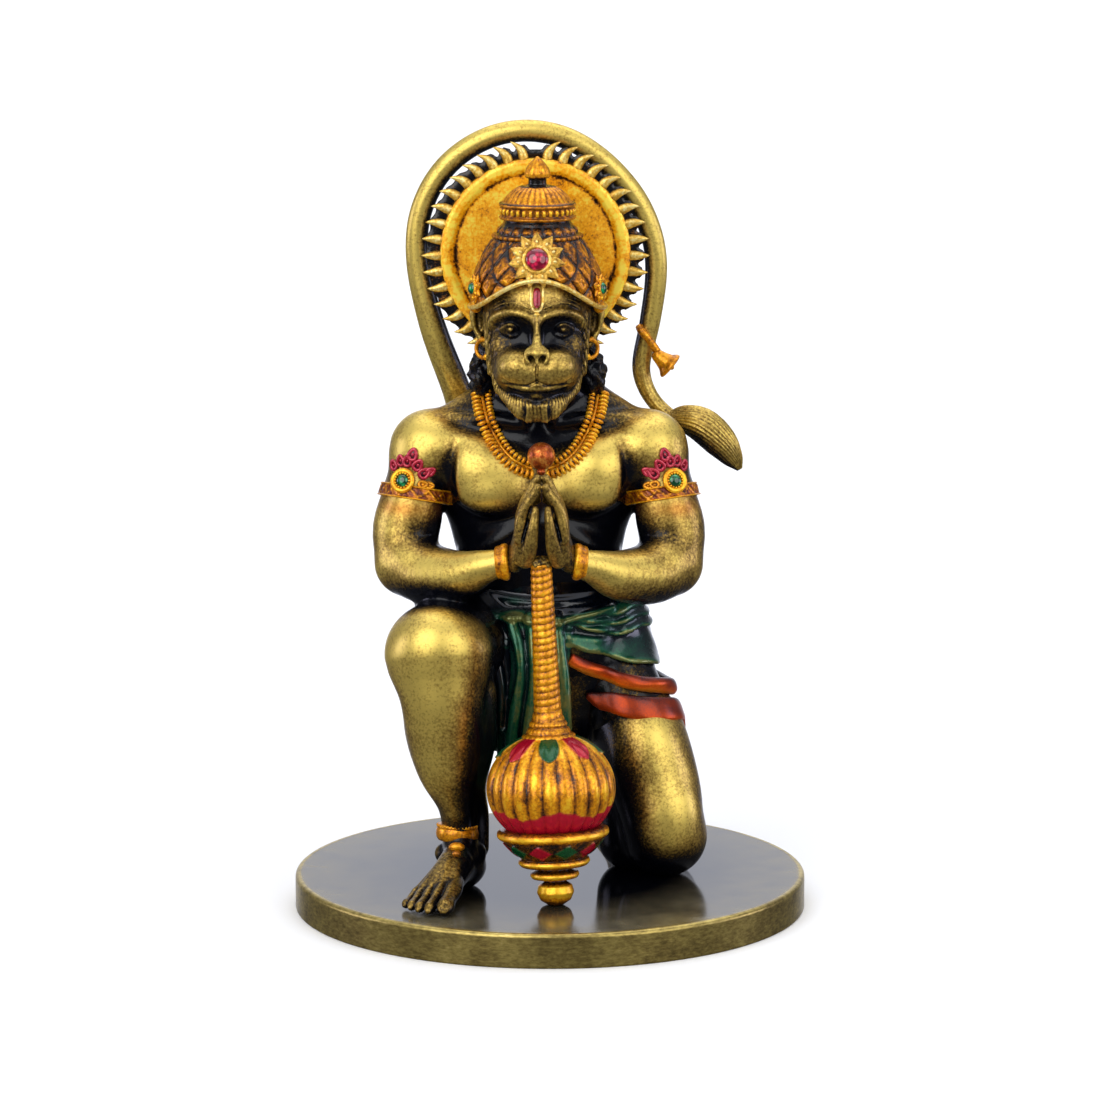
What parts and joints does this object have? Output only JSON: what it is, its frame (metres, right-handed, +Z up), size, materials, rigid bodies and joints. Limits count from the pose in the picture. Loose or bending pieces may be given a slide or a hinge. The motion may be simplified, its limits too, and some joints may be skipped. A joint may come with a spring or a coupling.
{
  "type": "dashboard deity figure",
  "caption": "Kneeling monkey-faced deity with joined palms, standing mace, rayed halo and tail arched over its crown, on a round plinth, cast and painted.",
  "frame": {"origin": "centre of the plinth's underside", "axes": "+Z up, the figure faces -Y, +X to the viewer's right"},
  "size_m": [0.06, 0.06, 0.0916],
  "materials": {
    "plinth_lacquer": "blue-black gloss lacquer with a brushed olive-gold rim",
    "aged_gold_paint": "olive gold metallic paint wiped over black lacquer",
    "warm_gold_paint": "orange gold metallic paint wiped over black lacquer"
  },
  "bodies": {
    "root": {"base_disc": "plinth_lacquer", "kneeling_figure": "aged_gold_paint", "mace": "warm_gold_paint", "halo": "warm_gold_paint", "tail": "aged_gold_paint"}
  },
  "joints": []
}
